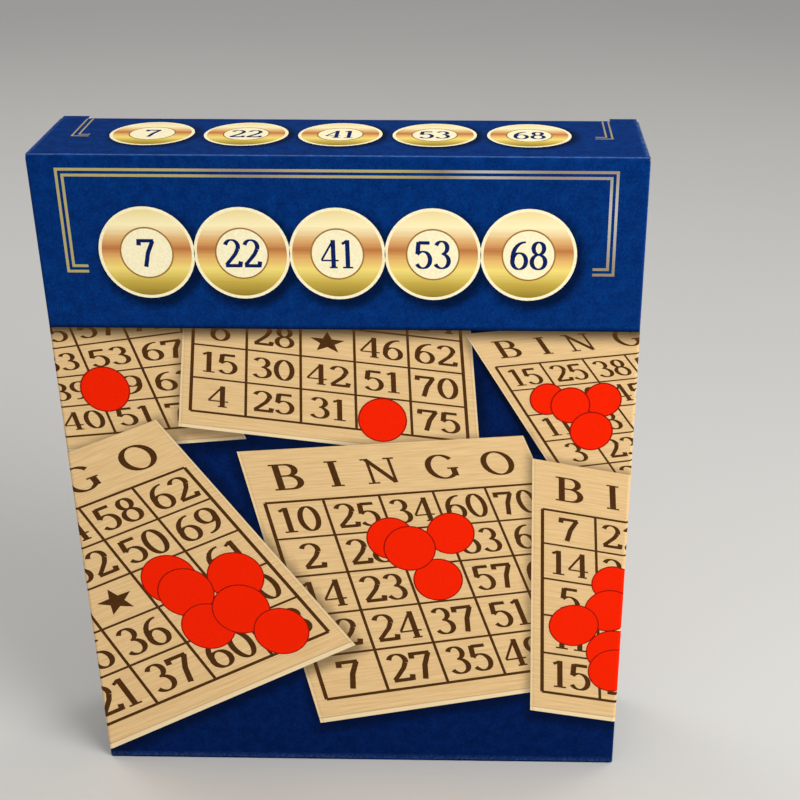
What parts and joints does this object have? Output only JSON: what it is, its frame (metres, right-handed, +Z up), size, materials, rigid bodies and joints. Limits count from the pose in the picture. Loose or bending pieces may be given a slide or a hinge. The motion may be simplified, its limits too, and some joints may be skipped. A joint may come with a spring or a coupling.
{
  "type": "boxed bingo game",
  "caption": "Slim upright tuck-top carton of a bingo game, with hinged top panel, tuck flap and dust flaps, holding playing cards, caller's board, tray, tokens and chips.",
  "frame": {"origin": "centre of the carton's base, on the surface it stands on", "axes": "+Z up along the height, front face towards -Y, +X to the right seen from the front"},
  "size_m": [0.194, 0.045, 0.238],
  "materials": {
    "carton_print": "gloss-coated blue print on white boxboard",
    "carton_inside": "uncoated grey-white boxboard",
    "card_print": "satin wood-pattern print on greyboard",
    "caller_print": "satin blue print on greyboard",
    "leaflet_paper": "uncoated white paper",
    "tray_plastic": "thin formed white plastic",
    "token_plastic": "ivory plastic with printed numbers",
    "marker_plastic": "glossy red plastic"
  },
  "bodies": {
    "carton": {"front_panel": "carton_print", "back_panel": "carton_print", "left_side_panel": "carton_print", "right_side_panel": "carton_print", "glue_flap": "carton_inside", "bottom_outer_panel": "carton_print", "bottom_inner_panel": "carton_inside", "bottom_minor_flap_left": "carton_inside", "bottom_minor_flap_right": "carton_inside"},
    "lid": {"top_panel": "carton_print"},
    "tuck": {"tuck_flap": "carton_inside"},
    "dust_left": {"dust_flap_left": "carton_inside"},
    "dust_right": {"dust_flap_right": "carton_inside"},
    "card_1": {"playing_card_1": "card_print"},
    "card_2": {"playing_card_2": "card_print"},
    "card_3": {"playing_card_3": "card_print"},
    "card_4": {"playing_card_4": "card_print"},
    "card_5": {"playing_card_5": "card_print"},
    "card_6": {"playing_card_6": "card_print"},
    "card_7": {"playing_card_7": "card_print"},
    "card_8": {"playing_card_8": "card_print"},
    "caller": {"caller_board": "caller_print"},
    "leaflet": {"rules_leaflet": "leaflet_paper"},
    "tray": {"insert_tray": "tray_plastic", "calling_tokens_b": "token_plastic", "calling_tokens_i": "token_plastic", "calling_tokens_n": "token_plastic", "calling_tokens_g": "token_plastic", "calling_tokens_o": "token_plastic", "marker_stack_1": "marker_plastic", "marker_stack_2": "marker_plastic", "marker_stack_3": "marker_plastic", "marker_stack_4": "marker_plastic", "marker_stack_5": "marker_plastic"}
  },
  "joints": [
    {"name": "lid_fold", "type": "hinge", "parent": "carton", "child": "lid", "pos_m": [0, -0.0225, 0.238], "axis": [1, 0, 0], "range_deg": [0, 225]},
    {"name": "tuck_fold", "type": "hinge", "parent": "lid", "child": "tuck", "pos_m": [0, 0.02164, 0.23477], "axis": [1, 0, 0], "range_deg": [0, 34]},
    {"name": "dust_fold_left", "type": "hinge", "parent": "carton", "child": "dust_left", "pos_m": [-0.097, 0, 0.2373], "axis": [0, -1, 0], "range_deg": [0, 90.5]},
    {"name": "dust_fold_right", "type": "hinge", "parent": "carton", "child": "dust_right", "pos_m": [0.097, 0, 0.2373], "axis": [0, 1, 0], "range_deg": [0, 90.5]},
    {"name": "card_lift_1", "type": "slide", "parent": "carton", "child": "card_1", "axis": [0, 0, 1], "range_m": [0, 0.0084]},
    {"name": "card_lift_2", "type": "slide", "parent": "carton", "child": "card_2", "axis": [0, 0, 1], "range_m": [0, 0.0135]},
    {"name": "card_lift_3", "type": "slide", "parent": "carton", "child": "card_3", "axis": [0, 0, 1], "range_m": [0, 0.0186]},
    {"name": "card_lift_4", "type": "slide", "parent": "carton", "child": "card_4", "axis": [0, 0, 1], "range_m": [0, 0.0237]},
    {"name": "card_lift_5", "type": "slide", "parent": "carton", "child": "card_5", "axis": [0, 0, 1], "range_m": [0, 0.0288]},
    {"name": "card_lift_6", "type": "slide", "parent": "carton", "child": "card_6", "axis": [0, 0, 1], "range_m": [0, 0.0339]},
    {"name": "card_lift_7", "type": "slide", "parent": "carton", "child": "card_7", "axis": [0, 0, 1], "range_m": [0, 0.039]},
    {"name": "card_lift_8", "type": "slide", "parent": "carton", "child": "card_8", "axis": [0, 0, 1], "range_m": [0, 0.0441]},
    {"name": "caller_lift", "type": "slide", "parent": "carton", "child": "caller", "axis": [0, 0, 1], "range_m": [0, 0.05]},
    {"name": "leaflet_lift", "type": "slide", "parent": "carton", "child": "leaflet", "axis": [0, 0, 1], "range_m": [0, 0.0712]},
    {"name": "tray_lift", "type": "slide", "parent": "carton", "child": "tray", "axis": [0, 0, 1], "range_m": [0, 0.0785]}
  ],
  "couplings": [
    {"joint": "lid_fold", "follows": "tray_lift", "rad_per_m": 50},
    {"joint": "tuck_fold", "follows": "tray_lift", "rad_per_m": 7.5},
    {"joint": "dust_fold_left", "follows": "tray_lift", "rad_per_m": 20},
    {"joint": "dust_fold_right", "follows": "tray_lift", "rad_per_m": 20},
    {"joint": "card_lift_1", "follows": "tray_lift", "ratio": 0.1},
    {"joint": "card_lift_2", "follows": "tray_lift", "ratio": 0.165},
    {"joint": "card_lift_3", "follows": "tray_lift", "ratio": 0.23},
    {"joint": "card_lift_4", "follows": "tray_lift", "ratio": 0.295},
    {"joint": "card_lift_5", "follows": "tray_lift", "ratio": 0.36},
    {"joint": "card_lift_6", "follows": "tray_lift", "ratio": 0.425},
    {"joint": "card_lift_7", "follows": "tray_lift", "ratio": 0.49},
    {"joint": "card_lift_8", "follows": "tray_lift", "ratio": 0.555},
    {"joint": "caller_lift", "follows": "tray_lift", "ratio": 0.63},
    {"joint": "leaflet_lift", "follows": "tray_lift", "ratio": 0.9}
  ]
}
